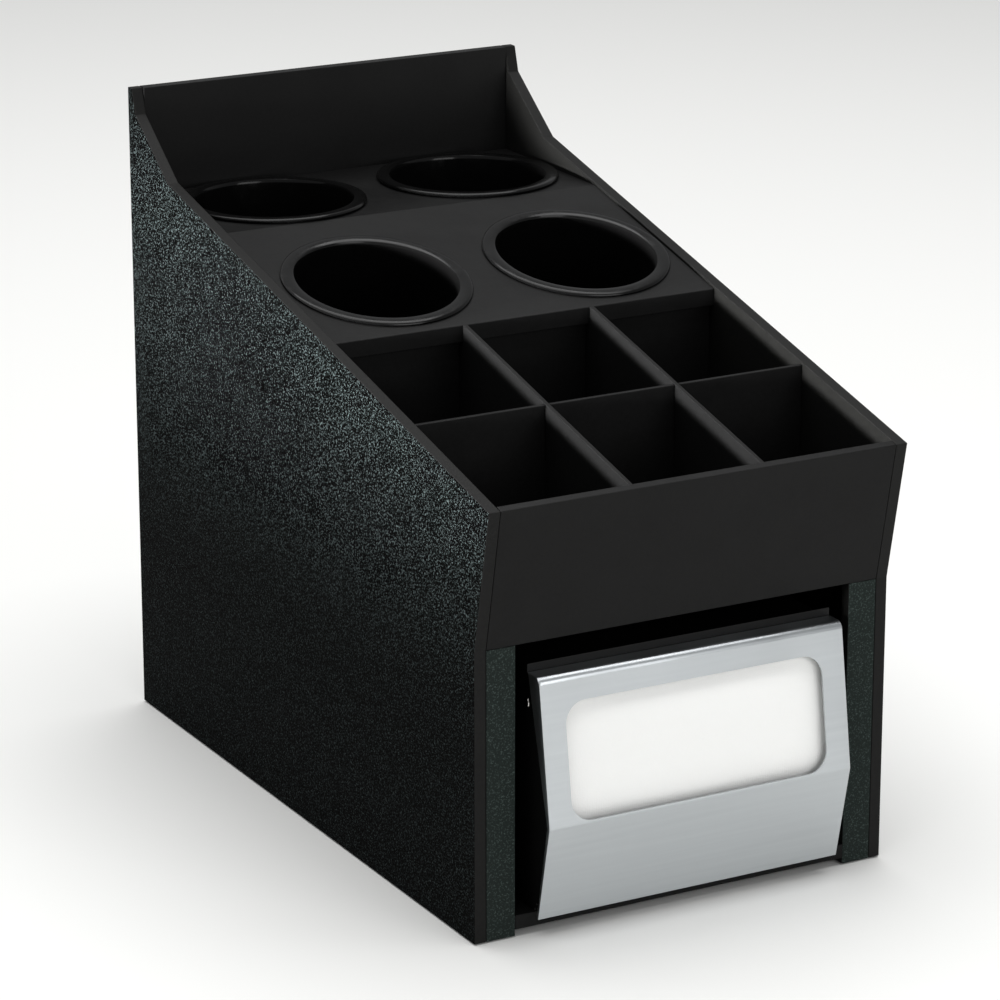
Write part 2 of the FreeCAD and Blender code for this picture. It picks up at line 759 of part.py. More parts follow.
def make_catches():
    """Leaf springs riveted inside the housing walls, each with a nub that grips the face."""
    outer = housing_half - size("housing_sheet")
    inner = outer - size("catch_thick")
    half = size("catch_width") / 2
    margin = size("cut_margin")
    leaf = [(front - size("catch_reach"), catch_z - half),
            (front + size("catch_tail"), catch_z - half),
            (front + size("catch_tail"), catch_z + half),
            (front - size("catch_reach"), catch_z + half)]
    tip_x = face_half - size("face_sheet") - size("running_gap")
    for side, sign in (("left", -1), ("right", 1)):
        low, high = (inner, outer) if sign > 0 else (-outer, -inner)
        body = profile_plate(f"{side}_catch_spring", leaf, low, high)
        nub = add_circle(body, "YZ_Plane", f"{side}Nub", nub_place(), size("nub_radius"))
        if sign > 0:
            pad_between(body, nub, inner, tip_x)
        else:
            pad_between(body, nub, -tip_x, -inner)
        hole = add_circle(body, "YZ_Plane", f"{side}CatchHole", catch_rivet_place(), pin_hole)
        pocket_between(body, hole, low - margin, high + margin)


def make_stack_and_follower():
    """The folded napkins, the follower plate behind them and its two coil springs."""
    floor_z = housing_floor + size("running_gap")
    margin = size("cut_margin")
    top, ridge, bottom = face_profile(size("face_sheet") + size("stack_front_gap"))
    half = housing_half - size("stack_side_gap")
    rear = front + size("stack_depth")
    stack_top = size("housing_top") - size("stack_headroom")
    stack = [
        (front + size("stack_foot_setback"), floor_z),
        (rear, floor_z),
        (rear, stack_top),
        (top[0], stack_top),
        ridge,
        (bottom[0], pin_z + size("ear_radius") * 2),
    ]
    profile_plate("napkin_stack", stack, -half, half)

    sheet_t = size("housing_sheet")
    wide = housing_half - size("follower_side_gap")
    face_y = rear + size("running_gap")
    high = size("housing_top") - size("follower_headroom")
    body = new_body("follower_plate")
    outer = [(face_y, floor_z), (face_y + size("follower_flange"), floor_z),
             (face_y + size("follower_flange"), high), (face_y, high)]
    pad_between(body, add_polygon(body, "YZ_Plane", "FollowerOutline", outer), -wide, wide)
    open_y = face_y + size("follower_flange") + margin
    inside = [(face_y + sheet_t, floor_z + sheet_t), (open_y, floor_z + sheet_t),
              (open_y, high - sheet_t), (face_y + sheet_t, high - sheet_t)]
    cavity = add_polygon(body, "YZ_Plane", "FollowerHollow", inside)
    pocket_between(body, cavity, sheet_t - wide, wide - sheet_t)

    spring_z = (floor_z + high) / 2
    spring_start = face_y + sheet_t + size("running_gap")
    spring_end = housing_rear - sheet_t - size("running_gap")
    bore = size("spring_radius") - size("spring_wire_radius") * 2
    for side, sign in (("left", -1), ("right", 1)):
        centre = (size("spring_spacing") / 2 * sign, spring_z)
        spring = new_body(f"{side}_follower_spring")
        rim = add_circle(spring, "XZ_Plane", f"{side}SpringOuter", centre, size("spring_radius"))
        pad_between(spring, rim, -spring_end, -spring_start)
        core = add_circle(spring, "XZ_Plane", f"{side}SpringBore", centre, bore)
        pocket_between(spring, core, -spring_end - margin, -spring_start + margin)


def make_feet():
    """Four rubber feet under the base panel."""
    x = inner_half.value - SIZES["foot_inset"]
    feet = []
    for side in (-x, x):
        for y in (front.value + SIZES["foot_inset"], back.value - SIZES["foot_inset"]):
            feet.append(Part.makeCone(SIZES["foot_tip_radius"], SIZES["foot_radius"],
                                      SIZES["base_bottom"], FreeCAD.Vector(side, y, 0), Z_AXIS))
    feature = doc.addObject("Part::Feature", "rubber_feet")
    feature.Label = "rubber_feet"
    feature.Shape = Part.makeCompound(feet)
    feature.Placement = FreeCAD.Placement()
    finished_parts.append(feature)


make_side_panels()
make_back_and_base()
make_front()
make_deck()
make_cups()
make_bins()
make_housing()
make_face_plate()
make_catches()
make_stack_and_follower()
make_fasteners()
make_feet()
doc.recompute()

for item in doc.Objects:
    if "Invalid" in item.State or "Error" in item.State:
        raise RuntimeError(f"{item.Label} failed: {item.State}")
for part in finished_parts:
    if part.Shape.isNull() or not part.Shape.isValid() or not part.Shape.Solids:
        raise RuntimeError(f"{part.Label} has no valid shape")

os.makedirs("parts", exist_ok=True)
for part in finished_parts:
    part.Shape.exportStep(f"parts/{part.Label}.step")
    box = part.Shape.BoundBox
    print(f"{part.Label}: {len(part.Shape.Solids)} solids, {part.Shape.Volume:.0f} mm3, "
          f"x {box.XMin:.1f}..{box.XMax:.1f} y {box.YMin:.1f}..{box.YMax:.1f} "
          f"z {box.ZMin:.1f}..{box.ZMax:.1f}")
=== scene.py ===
import json
import math
import random

import bmesh
import bpy
from mathutils import Matrix, Vector


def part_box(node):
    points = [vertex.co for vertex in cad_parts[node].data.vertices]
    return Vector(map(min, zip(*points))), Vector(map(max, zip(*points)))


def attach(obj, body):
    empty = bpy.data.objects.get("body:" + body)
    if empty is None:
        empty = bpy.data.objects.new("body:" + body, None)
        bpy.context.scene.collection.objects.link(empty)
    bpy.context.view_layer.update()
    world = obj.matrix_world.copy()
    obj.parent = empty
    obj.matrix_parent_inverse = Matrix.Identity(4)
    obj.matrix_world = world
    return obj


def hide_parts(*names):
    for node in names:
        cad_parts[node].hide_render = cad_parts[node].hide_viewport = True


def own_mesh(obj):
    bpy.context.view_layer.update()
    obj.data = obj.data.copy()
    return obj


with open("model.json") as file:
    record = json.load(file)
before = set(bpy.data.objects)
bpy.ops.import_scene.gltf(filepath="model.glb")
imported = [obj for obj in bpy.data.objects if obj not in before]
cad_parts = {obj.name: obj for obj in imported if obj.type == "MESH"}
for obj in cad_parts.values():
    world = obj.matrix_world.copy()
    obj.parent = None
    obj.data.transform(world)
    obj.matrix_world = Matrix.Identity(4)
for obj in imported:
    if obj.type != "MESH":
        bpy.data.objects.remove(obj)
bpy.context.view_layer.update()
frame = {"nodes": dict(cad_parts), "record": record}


# --- Side panels and front stiles ---------------------------------------------------------
# Sawn from 8 mm black ABS sheet whose show face is rolled with a haircell grain; the sawn
# edges are routed smooth. Solvent-welded to the base, the back and the deck.

def linear(hex_colour):
    """An sRGB hex colour as the linear values a shader takes."""
    channels = [int(hex_colour[i:i + 2], 16) / 255 for i in (1, 3, 5)]
    return [c / 12.92 if c <= 0.04045 else ((c + 0.055) / 1.055) ** 2.4
            for c in channels] + [1.0]


def add_node(material, kind, links=None, values=None, **settings):
    """Adds one shader node with its settings, its input values and its links."""
    node = material.node_tree.nodes.new(kind)
    for name, value in settings.items():
        setattr(node, name, value)
    for name, value in (values or {}).items():
        node.inputs[name].default_value = value
    for name, socket in (links or {}).items():
        material.node_tree.links.new(socket, node.inputs[name])
    return node


def start_material(name, roughness):
    """A material, its Principled shader at a roughness, and the object coordinates."""
    material = bpy.data.materials.new(name)
    material.use_nodes = True
    shader = material.node_tree.nodes["Principled BSDF"]
    shader.inputs["Roughness"].default_value = roughness
    coordinates = add_node(material, "ShaderNodeTexCoord").outputs["Object"]
    return material, shader, coordinates


def link(material, source, target):
    material.node_tree.links.new(source, target)


abs_ior = 1.52               # refractive index of ABS


def haircell_abs(name, valley, glint_tone):
    # Haircell ABS: a rolled grain of rounded pebbles about 1.3 mm across, drawn as a bump. The
    # base colour's paler specks are painted highlights, standing for light glinting on the
    # grain, so a dead matt black panel looks finely speckled. It has almost no sheen, so the
    # specular level is far below that of smooth ABS.
    material, shader, place = start_material(name, roughness=0.7)
    shader.inputs["IOR"].default_value = abs_ior
    shader.inputs["Specular IOR Level"].default_value = 0.02
    pebbles = add_node(material, "ShaderNodeTexVoronoi", {"Vector": place},
                       {"Scale": 760.0, "Randomness": 1.0, "Smoothness": 0.3},
                       feature="SMOOTH_F1")
    glint_speckle = add_node(material, "ShaderNodeTexNoise", {"Vector": place},
                     {"Scale": 860.0, "Detail": 2.0, "Roughness": 0.75})
    # The paler tone that this mask lays into the base colour is a painted highlight: glints on
    # the grain.
    glint_mask = add_node(material, "ShaderNodeMapRange", {"Value": glint_speckle.outputs["Fac"]},
                    {"From Min": 0.55, "From Max": 0.66})
    colour = add_node(material, "ShaderNodeMix", {0: glint_mask.outputs["Result"]},
                      {6: linear(valley), 7: linear(glint_tone)}, data_type="RGBA")
    link(material, colour.outputs[2], shader.inputs["Base Color"])
    bump = add_node(material, "ShaderNodeBump", {"Height": pebbles.outputs["Distance"]},
                    {"Strength": 0.6, "Distance": 0.0003}, invert=True)
    link(material, bump.outputs["Normal"], shader.inputs["Normal"])
    return material


def sawn_abs():
    # Routed ABS edge: smooth satin, with faint marks that the cutter leaves about 2 mm apart.
    material, shader, place = start_material("routed_black_abs_edge", roughness=0.5)
    shader.inputs["IOR"].default_value = abs_ior
    shader.inputs["Specular IOR Level"].default_value = 0.12
    marks = add_node(material, "ShaderNodeTexNoise", {"Vector": place},
                     {"Scale": 480.0, "Detail": 2.0})
    colour = add_node(material, "ShaderNodeMix", {0: marks.outputs["Fac"]},
                      {6: linear("#0c0c0c"), 7: linear("#171716")}, data_type="RGBA")
    link(material, colour.outputs[2], shader.inputs["Base Color"])
    bump = add_node(material, "ShaderNodeBump", {"Height": marks.outputs["Fac"]},
                    {"Strength": 0.3, "Distance": 0.0001})
    link(material, bump.outputs["Normal"], shader.inputs["Normal"])
    return material


def body_of(node):
    """The CAD body a node rides on."""
    bodies = frame["record"]["behaviour"]["bodies"]
    return next(body for body, nodes in bodies.items() if node in nodes)


def eased_shape(node, edge_round, segments=2):
    """A copy of a CAD piece, its triangles merged to flat faces and its edges eased."""
    flat, corner = math.radians(1.5), math.radians(25)
    shape = bmesh.new()
    shape.from_mesh(frame["nodes"][node].data)
    bmesh.ops.remove_doubles(shape, verts=shape.verts, dist=1e-6)
    bmesh.ops.dissolve_limit(shape, angle_limit=flat, use_dissolve_boundaries=False,
                             verts=shape.verts, edges=shape.edges)
    if edge_round:
        corners = [edge for edge in shape.edges
                   if len(edge.link_faces) == 2 and edge.calc_face_angle() > corner]
        bmesh.ops.bevel(shape, geom=corners, offset=edge_round, offset_type="OFFSET",
                        segments=segments, profile=0.5, affect="EDGES", material=-1,
                        clamp_overlap=True)
    return shape


def place_piece(name, shape, materials, nodes, smooth=False, flat_area=1.0):
    """Makes a bmesh a piece that stands for CAD nodes and rides on their body.

    A smooth piece keeps its faces of more than flat_area square metres flat, because a large
    face with many corners shades unevenly otherwise.
    """
    mesh = bpy.data.meshes.new(name)
    shape.to_mesh(mesh)
    shape.free()
    for material in materials:
        mesh.materials.append(material)
    if smooth:
        mesh.shade_smooth()
        mesh.set_sharp_from_angle(angle=math.radians(32))
        for polygon in mesh.polygons:
            polygon.use_smooth = polygon.area < flat_area
    piece = bpy.data.objects.new(name, mesh)
    bpy.context.scene.collection.objects.link(piece)
    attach(piece, body_of(nodes[0]))
    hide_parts(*nodes)
    return piece


facing = 0.6                 # how squarely a face looks outwards to be a grained show face
panel_grain_and_glints = haircell_abs("haircell_black_abs", "#010101", "#353c3c")
# The stiles take the panels' haircell with paler colours: painted light, standing for the
# brighter light on their front faces.
stile_grain_painted_lighter = haircell_abs("haircell_black_abs_painted_lighter", "#232927", "#414b48")
panel_edge = sawn_abs()
for node, side in (("left_side_panel", -1), ("right_side_panel", 1)):
    panel = eased_shape(node, 0.0006)
    panel.normal_update()
    for face in panel.faces:
        face.material_index = 0 if face.normal.x * side > facing else 1
    place_piece(node + "_sheet", panel, [panel_grain_and_glints, panel_edge], [node])
for node in ("left_front_stile", "right_front_stile"):
    stile = eased_shape(node, 0.0006)
    stile.normal_update()
    for face in stile.faces:
        face.material_index = 0 if -face.normal.y > facing else 1
    place_piece(node + "_sheet", stile, [stile_grain_painted_lighter, panel_edge], [node])


# --- Fascia, back, base, deck and bins ----------------------------------------------------
# Plain 3 to 9 mm black ABS sheet, sawn and solvent-welded. The deck is hot-bent along one
# line; the bin dividers are halved into each other and stand in the sloping bin floor.

def satin_abs():
    # Extruded ABS sheet: smooth satin with a faint orange peel about 2.4 mm across, and
    # handling that dulls the gloss in patches of about 40 mm.
    material, shader, place = start_material("satin_black_abs", roughness=0.5)
    shader.inputs["IOR"].default_value = abs_ior
    shader.inputs["Specular IOR Level"].default_value = 0.1
    peel = add_node(material, "ShaderNodeTexNoise", {"Vector": place},
                    {"Scale": 420.0, "Detail": 3.0, "Roughness": 0.55})
    rubs = add_node(material, "ShaderNodeTexNoise", {"Vector": place},
                    {"Scale": 26.0, "Detail": 4.0, "Roughness": 0.6})
    gloss = add_node(material, "ShaderNodeMapRange", {"Value": rubs.outputs["Fac"]},
                     {"From Min": 0.3, "From Max": 0.7, "To Min": 0.36, "To Max": 0.52})
    link(material, gloss.outputs["Result"], shader.inputs["Roughness"])
    colour = add_node(material, "ShaderNodeMix", {0: peel.outputs["Fac"]},
                      {6: linear("#0d0d0d"), 7: linear("#161616")}, data_type="RGBA")
    link(material, colour.outputs[2], shader.inputs["Base Color"])
    bump = add_node(material, "ShaderNodeBump", {"Height": peel.outputs["Fac"]},
                    {"Strength": 0.25, "Distance": 0.0001})
    link(material, bump.outputs["Normal"], shader.inputs["Normal"])
    return material


plain_sheet = satin_abs()
for node, edge_round in (
        ("front_fascia", 0.0006), ("back_panel", 0.0006), ("base_panel", 0.0005),
        ("cutlery_deck", 0.0005), ("bin_floor", 0.0004), ("bin_riser", 0.0004),
        ("left_bin_divider", 0.0005), ("right_bin_divider", 0.0005),
        ("cross_bin_divider", 0.0005)):
    place_piece(node + "_sheet", eased_shape(node, edge_round), [plain_sheet], [node])


# --- Cutlery cups -------------------------------------------------------------------------
# Injection-moulded glossy black cups with a slight draft, a rolled rim that hangs on the
# deck, and a floor rounded into the wall. Each drops into its hole and lifts out to wash.

def gloss_abs():
    # Moulded high-gloss ABS: near-mirror. Washing scratches are too fine to draw singly, so
    # they are a slight change of gloss in patches of about 11 mm.
    material, shader, place = start_material("gloss_black_abs", roughness=0.14)
    shader.inputs["IOR"].default_value = abs_ior
    shader.inputs["Base Color"].default_value = linear("#070707")
    shader.inputs["Specular IOR Level"].default_value = 0.2
    wear = add_node(material, "ShaderNodeTexNoise", {"Vector": place},
                    {"Scale": 90.0, "Detail": 6.0, "Roughness": 0.7})
    gloss = add_node(material, "ShaderNodeMapRange", {"Value": wear.outputs["Fac"]},
                     {"From Min": 0.35, "From Max": 0.7, "To Min": 0.1, "To Max": 0.26})
    link(material, gloss.outputs["Result"], shader.inputs["Roughness"])
    return material


def turned(profile, steps=96):
    """Spins an open profile of (radius, height) points about Z into a closed shape."""
    shape = bmesh.new()
    points = [shape.verts.new((radius, 0.0, height)) for radius, height in profile]
    edges = [shape.edges.new(pair) for pair in zip(points, points[1:])]
    bmesh.ops.spin(shape, geom=points + edges, cent=(0, 0, 0), axis=(0, 0, 1), steps=steps,
                   angle=math.tau, use_merge=True, use_duplicate=False)
    bmesh.ops.remove_doubles(shape, verts=shape.verts, dist=1e-6)
    bmesh.ops.recalc_face_normals(shape, faces=shape.faces)
    return shape


cup_gloss = gloss_abs()

# From the middle of the underside up the outside, round the rim and down to the inner floor.
cup_profile = [
    (0.0, -0.130), (0.0450, -0.130), (0.0482, -0.1293), (0.0502, -0.1278), (0.0511, -0.1250),
    (0.0513, -0.118), (0.0530, -0.060), (0.0544, -0.006), (0.0546, 0.0), (0.0600, 0.0),
    (0.0608, 0.0003), (0.0613, 0.0009), (0.0615, 0.0016), (0.0612, 0.0023), (0.0606, 0.0028),
    (0.0598, 0.0030), (0.0540, 0.0030), (0.0530, 0.0026), (0.0524, 0.0017), (0.0522, 0.0002),
    (0.0519, -0.010), (0.0505, -0.060), (0.0493, -0.112), (0.0487, -0.1215), (0.0470, -0.1255),
    (0.0430, -0.1272), (0.0, -0.1275),
]
deck_rise = 0.2335           # metres of height for each metre of depth
tilt = math.atan(deck_rise)
for node in ("front_left_cutlery_cup", "front_right_cutlery_cup", "rear_left_cutlery_cup",
             "rear_right_cutlery_cup"):
    low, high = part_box(node)
    cup = turned(cup_profile)
    angle = tilt if node.startswith("front") else 0.0
    bmesh.ops.rotate(cup, verts=cup.verts, cent=(0, 0, 0),
                     matrix=Matrix.Rotation(angle, 3, "X"))
    lowest = Vector([min(vertex.co[i] for vertex in cup.verts) for i in range(3)])
    highest = Vector([max(vertex.co[i] for vertex in cup.verts) for i in range(3)])
    bmesh.ops.translate(cup, verts=cup.verts, vec=(low + high) / 2 - (lowest + highest) / 2)
    place_piece(node + "_moulding", cup, [cup_gloss], [node], smooth=True)


# --- Napkin housing -----------------------------------------------------------------------
# Folded from 1.2 mm steel, coated matt black after folding. The lid's front edge is turned
# up into a lip; screws through the base panel hold the tub down.

def coated_steel():
    # Powder coat on steel: matt black with the fine orange peel of a baked powder, about
    # 0.7 mm across.
    material, shader, place = start_material("black_powder_coat", roughness=0.45)
    peel = add_node(material, "ShaderNodeTexNoise", {"Vector": place},
                    {"Scale": 1400.0, "Detail": 2.0})
    shader.inputs["Base Color"].default_value = linear("#080808")
    shader.inputs["Specular IOR Level"].default_value = 0.2
    bump = add_node(material, "ShaderNodeBump", {"Height": peel.outputs["Fac"]},
                    {"Strength": 0.35, "Distance": 0.00006})
    link(material, bump.outputs["Normal"], shader.inputs["Normal"])
    return material


powder_coat = coated_steel()
for node in ("napkin_housing", "housing_lid", "housing_back_plate"):
    place_piece(node + "_sheet", eased_shape(node, 0.0003), [powder_coat], [node])


# --- Napkin face --------------------------------------------------------------------------
# One piece of 1.2 mm stainless steel, pressed with a ridge, a rolled top edge, tapering side
# returns and a window, then satin-polished. Two ears spot-welded inside carry its hinge.

def satin_stainless():
    # Satin-polished stainless: a soft mirror whose thin sheet waves a little over 60 mm, so
    # reflections drift, with hazy wiped patches about 45 mm across. The real polishing lines
    # are finer than 0.2 mm and are drawn 3 mm apart, so that they show.
    material, shader, place = start_material("satin_polished_stainless", roughness=0.32)
    shader.inputs["Metallic"].default_value = 1.0
    along = add_node(material, "ShaderNodeMapping", {"Vector": place},
                     {"Scale": (9.0, 260.0, 330.0)})
    lines = add_node(material, "ShaderNodeTexNoise", {"Vector": along.outputs["Vector"]},
                     {"Scale": 1.0, "Detail": 2.0, "Roughness": 0.5})
    colour = add_node(material, "ShaderNodeMix", {0: lines.outputs["Fac"]},
                      {6: linear("#b8bcbf"), 7: linear("#c3c7c9")}, data_type="RGBA")
    link(material, colour.outputs[2], shader.inputs["Base Color"])
    smears = add_node(material, "ShaderNodeTexNoise", {"Vector": place},
                      {"Scale": 22.0, "Detail": 1.0})
    gloss = add_node(material, "ShaderNodeMapRange", {"Value": smears.outputs["Fac"]},
                     {"From Min": 0.3, "From Max": 0.7, "To Min": 0.29, "To Max": 0.37})
    link(material, gloss.outputs["Result"], shader.inputs["Roughness"])
    waves = add_node(material, "ShaderNodeTexNoise", {"Vector": place},
                     {"Scale": 16.0, "Detail": 0.0})
    bump = add_node(material, "ShaderNodeBump", {"Height": waves.outputs["Fac"]},
                    {"Strength": 0.25, "Distance": 0.006})
    link(material, bump.outputs["Normal"], shader.inputs["Normal"])
    return material


def round_bends(shape, chosen, radius, segments):
    """Rounds the outer edges of a bent sheet that the test picks by their middle point."""
    bends = []
    for edge in shape.edges:
        middle = (edge.verts[0].co + edge.verts[1].co) / 2
        if (len(edge.link_faces) == 2 and edge.calc_face_angle() > math.radians(8)
                and chosen(middle)):
            bends.append(edge)
    bmesh.ops.bevel(shape, geom=bends, offset=radius, offset_type="OFFSET", segments=segments,
                    profile=0.5, affect="EDGES", material=-1, clamp_overlap=True)


face_steel = satin_stainless()
face = eased_shape("napkin_face_plate", 0.0)
face_low, face_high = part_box("napkin_face_plate")
near = 1e-4
ridge_height = 0.075
top_setback = 0.0166         # the sheet's outer edges lie no further than this behind its ridge


def top_edge(middle):
    """Whether an edge is the long one where the sheet turns back along its top."""
    return (middle.z > face_high.z - near and middle.y < face_low.y + top_setback
            and abs(middle.x) < 0.01)


def ridge_edge(middle):
    """Whether an edge is the ridge between the sheet's two slants."""
    return abs(middle.z - ridge_height) < near and middle.y < face_low.y + near


def side_edge(middle):
    """Whether an edge is where the sheet turns back into a side return."""
    return (abs(middle.x) > face_high.x - near and middle.y < face_low.y + top_setback
            and middle.z > face_low.z + near)


round_bends(face, top_edge, 0.0042, 8)
round_bends(face, ridge_edge, 0.0008, 3)
round_bends(face, side_edge, 0.0018, 5)
place_piece("napkin_face_pressing", face, [face_steel], ["napkin_face_plate"], smooth=True,
            flat_area=0.001)
for node in ("left_hinge_ear", "right_hinge_ear"):
    place_piece(node + "_plate", eased_shape(node, 0.0002), [face_steel], [node])


# --- Rivets, catch springs, follower and screws -------------------------------------------
# Bright dome-headed rivets carry the hinge and hold the catch springs, which are spring-steel
# strip with a pressed nub. The follower is a zinc-plated tray pushed by two open coil
# springs, and four zinc-plated screws hold the housing down.

def plated_steel(name, colour, roughness):
    # Zinc or nickel plate on steel, or drawn wire: bright metal whose gloss varies in faint
    # clouds about 6 mm across.
    material, shader, place = start_material(name, roughness=roughness)
    shader.inputs["Base Color"].default_value = linear(colour)
    shader.inputs["Metallic"].default_value = 1.0
    cloud = add_node(material, "ShaderNodeTexNoise", {"Vector": place},
                     {"Scale": 160.0, "Detail": 4.0})
    gloss = add_node(material, "ShaderNodeMapRange", {"Value": cloud.outputs["Fac"]},
                     {"From Min": 0.3, "From Max": 0.7, "To Min": roughness * 0.75,
                      "To Max": roughness * 1.35})
    link(material, gloss.outputs["Result"], shader.inputs["Roughness"])
    return material


bright_nickel = plated_steel("bright_nickel_plate", "#d8d6d0", 0.16)
zinc = plated_steel("zinc_plate", "#b9bcc0", 0.4)
spring_wire = plated_steel("spring_steel_wire", "#9a9c9e", 0.39)


def pour_into(whole, part):
    """Adds one bmesh to another and frees it."""
    mesh = bpy.data.meshes.new("poured_part")
    part.to_mesh(mesh)
    part.free()
    whole.from_mesh(mesh)
    bpy.data.meshes.remove(mesh)


def domed_rivets(node, shank, head, dome, length):
    """Dome-headed rivets in both housing walls, their heads outside."""
    low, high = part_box(node)
    both = bmesh.new()
    for side in (-1, 1):
        profile = [(0.0, -length), (shank, -length), (shank, 0.0), (head * 0.96, 0.0),
                   (head, dome * 0.2)]
        profile += [(head * math.cos(a), dome * (0.2 + 0.8 * math.sin(a)))
                    for a in (0.35, 0.7, 1.05, 1.35)]
        profile.append((0.0, dome))
        one = turned(profile, 40)
        bmesh.ops.rotate(one, verts=one.verts, cent=(0, 0, 0),
                         matrix=Matrix.Rotation(math.pi / 2 * side, 3, "Y"))
        seat = high.x - dome
        bmesh.ops.translate(one, verts=one.verts,
                            vec=(seat * side, (low.y + high.y) / 2, (low.z + high.z) / 2))
        pour_into(both, one)
    return both


place_piece("hinge_rivet_pair", domed_rivets("hinge_rivets", 0.0015, 0.0032, 0.0013, 0.0038),
            [bright_nickel], ["hinge_rivets"], smooth=True)
place_piece("catch_rivet_pair", domed_rivets("catch_rivets", 0.0015, 0.0032, 0.0013, 0.0027),
            [bright_nickel], ["catch_rivets"], smooth=True)
for node in ("left_catch_spring", "right_catch_spring"):
    place_piece(node + "_strip", eased_shape(node, 0.0002), [spring_wire], [node])
place_piece("follower_tray", eased_shape("follower_plate", 0.0004), [zinc], ["follower_plate"])
place_piece("housing_screw_set", eased_shape("housing_screws", 0.0004), [zinc],
            ["housing_screws"], smooth=True)

wire = 0.0009                # radius of the wire
turns = 16
steps = turns * 24
for node in ("left_follower_spring", "right_follower_spring"):
    low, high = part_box(node)
    coil_radius = (high.x - low.x) / 2 - wire
    length = high.y - low.y - 2 * wire
    coil = bmesh.new()
    bmesh.ops.create_circle(coil, segments=8, radius=wire, cap_ends=False)
    bmesh.ops.rotate(coil, verts=coil.verts, cent=(0, 0, 0),
                     matrix=Matrix.Rotation(math.pi / 2, 3, "Z"))
    bmesh.ops.translate(coil, verts=coil.verts, vec=(coil_radius, 0, 0))
    bmesh.ops.spin(coil, geom=coil.verts[:] + coil.edges[:], cent=(0, 0, 0), axis=(0, 1, 0),
                   dvec=(0, length / steps, 0), steps=steps, angle=math.tau * turns,
                   use_merge=False, use_duplicate=False)
    bmesh.ops.holes_fill(coil, edges=[e for e in coil.edges if e.is_boundary], sides=8)
    bmesh.ops.recalc_face_normals(coil, faces=coil.faces)
    bmesh.ops.translate(coil, verts=coil.verts,
                        vec=((low.x + high.x) / 2, low.y + wire, (low.z + high.z) / 2))
    spring = place_piece(node + "_coil", coil, [spring_wire], [node], smooth=True)
    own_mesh(spring)


# --- Napkins ------------------------------------------------------------------------------
# A stack of folded paper napkins standing on edge, squeezed forward by the follower so that
# the front ones take the bend of the face and swell a little into its window.

def napkin_tissue():
    # Uncoated white tissue paper: matt, slightly see-through, with embossed dimples 1.5 mm
    # apart and soft wrinkles some centimetres long.
    material, shader, place = start_material("white_tissue_paper", roughness=0.92)
    shader.inputs["Base Color"].default_value = linear("#fafaf8")
    shader.inputs["Subsurface Weight"].default_value = 0.15
    shader.inputs["Subsurface Radius"].default_value = (0.002, 0.002, 0.002)
    dimples = add_node(material, "ShaderNodeTexVoronoi", {"Vector": place},
                       {"Scale": 650.0, "Randomness": 0.35}, feature="F1")
    fibres = add_node(material, "ShaderNodeTexNoise", {"Vector": place},
                      {"Scale": 60.0, "Detail": 5.0, "Roughness": 0.6})
    height = add_node(material, "ShaderNodeMath",
                      {0: dimples.outputs["Distance"], 1: fibres.outputs["Fac"]},
                      operation="ADD")
    bump = add_node(material, "ShaderNodeBump", {"Height": height.outputs[0]},
                    {"Strength": 0.35, "Distance": 0.0003})
    link(material, bump.outputs["Normal"], shader.inputs["Normal"])
    return material


tissue = napkin_tissue()
low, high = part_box("napkin_stack")
napkins = 40
sheet_thickness = 0.0022
lean_above, lean_below = 0.1495, 0.22     # the face's slants, above and below its ridge
window_low, window_high = 0.076, 0.149
window_reach = 0.090                      # half the width in which the napkins swell
bulge = 0.0045                            # of the front napkin into the window
swelling_from = 0.7                       # the share of the stack that stays flat
chance = random.Random(7)
stack = bmesh.new()
for i in range(napkins):
    forward = (i + 0.5) / napkins
    sheet = bmesh.new()
    bmesh.ops.create_grid(sheet, x_segments=22, y_segments=18, size=0.5)
    sway = [chance.uniform(-1, 1) for _ in range(6)]
    for vertex in sheet.verts:
        across, up = vertex.co.x * 2, vertex.co.y + 0.5
        # The sheets differ a little in height and in how far they stand to one side.
        z = low.z + 0.0006 + up * (high.z - low.z - 0.0016 - abs(sway[0]) * 0.0012)
        x = across * (high.x - 0.0012) + sway[1] * 0.0007
        if z > ridge_height:
            slant = (z - ridge_height) * lean_above
        else:
            slant = (ridge_height - z) * lean_below
        front_y = low.y + 0.0016 + slant
        rear_y = high.y - 0.001
        y = rear_y + (front_y - rear_y) * forward
        ripple = math.sin(across * 3.1 + sway[2] * 3) * math.cos(up * 4 + sway[3] * 3) * 0.0003
        beside = abs(x) / window_reach
        above = abs(z - (window_low + window_high) / 2) / ((window_high - window_low) / 2)
        swell = max(0.0, 1 - beside ** 4) * max(0.0, 1 - above ** 4)
        press = max(0.0, (forward - swelling_from) / (1 - swelling_from))
        vertex.co = (x, y + ripple - swell * press * bulge, z)
    skin = bmesh.ops.extrude_face_region(sheet, geom=sheet.faces[:])
    front_points = [part for part in skin["geom"] if isinstance(part, bmesh.types.BMVert)]
    bmesh.ops.translate(sheet, verts=front_points, vec=(0, -sheet_thickness, 0))
    bmesh.ops.recalc_face_normals(sheet, faces=sheet.faces)
    pour_into(stack, sheet)
place_piece("folded_napkins", stack, [tissue], ["napkin_stack"], smooth=True)


# --- Feet ---------------------------------------------------------------------------------
# Four small feet moulded from nitrile rubber and bonded under the base panel's corners, so
# that the cabinet stands about a millimetre clear of the counter.

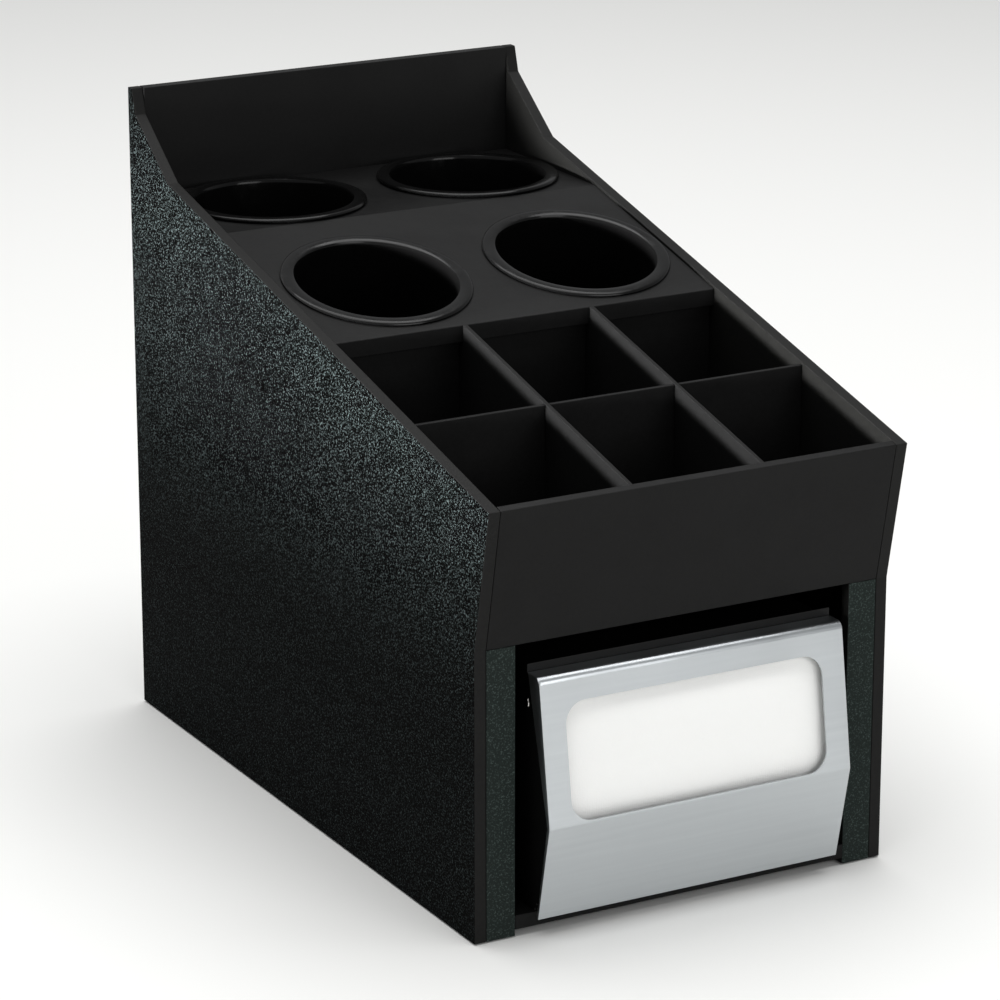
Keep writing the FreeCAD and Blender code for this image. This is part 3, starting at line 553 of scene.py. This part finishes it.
def foot_rubber():
    # Moulded nitrile rubber: dead matt black, with dust in specks of about 3 mm.
    material, shader, place = start_material("black_moulded_rubber", roughness=0.85)
    dust = add_node(material, "ShaderNodeTexNoise", {"Vector": place},
                    {"Scale": 300.0, "Detail": 3.0})
    colour = add_node(material, "ShaderNodeMix", {0: dust.outputs["Fac"]},
                      {6: linear("#0f0f0f"), 7: linear("#232323")}, data_type="RGBA")
    link(material, colour.outputs[2], shader.inputs["Base Color"])
    return material


place_piece("rubber_foot_set", eased_shape("rubber_feet", 0.0006, 3), [foot_rubber()],
            ["rubber_feet"], smooth=True)


# --- Floor, light and camera --------------------------------------------------------------
# A pale paper floor under one large overhead softbox, with a wide soft light in front and a
# narrow strip that falls on the left panel's upper half only, as for a catalogue picture.

sweep_paper = bpy.data.materials.new("pale_paper_sweep")
sweep_paper.use_nodes = True
sweep_shader = sweep_paper.node_tree.nodes["Principled BSDF"]
sweep_shader.inputs["Roughness"].default_value = 0.8
sweep_shader.inputs["Base Color"].default_value = linear("#f1f1ef")
sweep = bmesh.new()
bmesh.ops.create_grid(sweep, x_segments=1, y_segments=1, size=6.0)
sweep_mesh = bpy.data.meshes.new("paper_sweep")
sweep.to_mesh(sweep_mesh)
sweep.free()
sweep_mesh.materials.append(sweep_paper)
floor = bpy.data.objects.new("paper_sweep", sweep_mesh)
bpy.context.scene.collection.objects.link(floor)

world = bpy.data.worlds.new("studio_white")
world.use_nodes = True
world.node_tree.nodes["Background"].inputs["Color"].default_value = linear("#f4f5f6")
world.node_tree.nodes["Background"].inputs["Strength"].default_value = 0.38
bpy.context.scene.world = world


def soft_light(name, place, aim, width, height, watts, spread=180):
    """A rectangular soft light; a spread in degrees below 180 makes it a beam."""
    lamp = bpy.data.lights.new(name, "AREA")
    lamp.shape = "RECTANGLE"
    lamp.size = width
    lamp.size_y = height
    lamp.energy = watts
    lamp.spread = math.radians(spread)
    holder = bpy.data.objects.new(name, lamp)
    holder.location = place
    holder.rotation_mode = "QUATERNION"
    holder.rotation_quaternion = (Vector(aim) - Vector(place)).to_track_quat("-Z", "Y")
    bpy.context.scene.collection.objects.link(holder)
    return holder


soft_light("overhead_softbox", (0.0, 0.3, 3.2), (0.0, 0.3, 0.0), 3.6, 3.6, 120)
soft_light("front_softbox", (0.5, -2.6, 0.9), (0, 0, 0.15), 1.6, 1.2, 17)
strip = soft_light("side_strip", (-1.5, -0.09, 0.42), (-0.14, -0.09, 0.35), 0.8, 0.08, 5.4, 16)

# The strip lights without being mirrored, because smooth edges would flash white in it.
strip.visible_glossy = False
strip.visible_camera = False

# A plain transform keeps the white napkins white and the black plastic black.
bpy.context.scene.view_settings.view_transform = "Standard"

camera = bpy.data.cameras.new("catalogue_camera")
camera.lens = 154.72
camera.sensor_width = 36.0
camera.clip_end = 20.0
stand = bpy.data.objects.new("catalogue_camera", camera)
eye, target = Vector((-1.2694, -2.3082, 1.0365)), Vector((0.0157, 0.0319, 0.1824))
stand.location = eye
stand.rotation_mode = "QUATERNION"
stand.rotation_quaternion = (target - eye).to_track_quat("-Z", "Y")
bpy.context.scene.collection.objects.link(stand)
bpy.context.scene.camera = stand
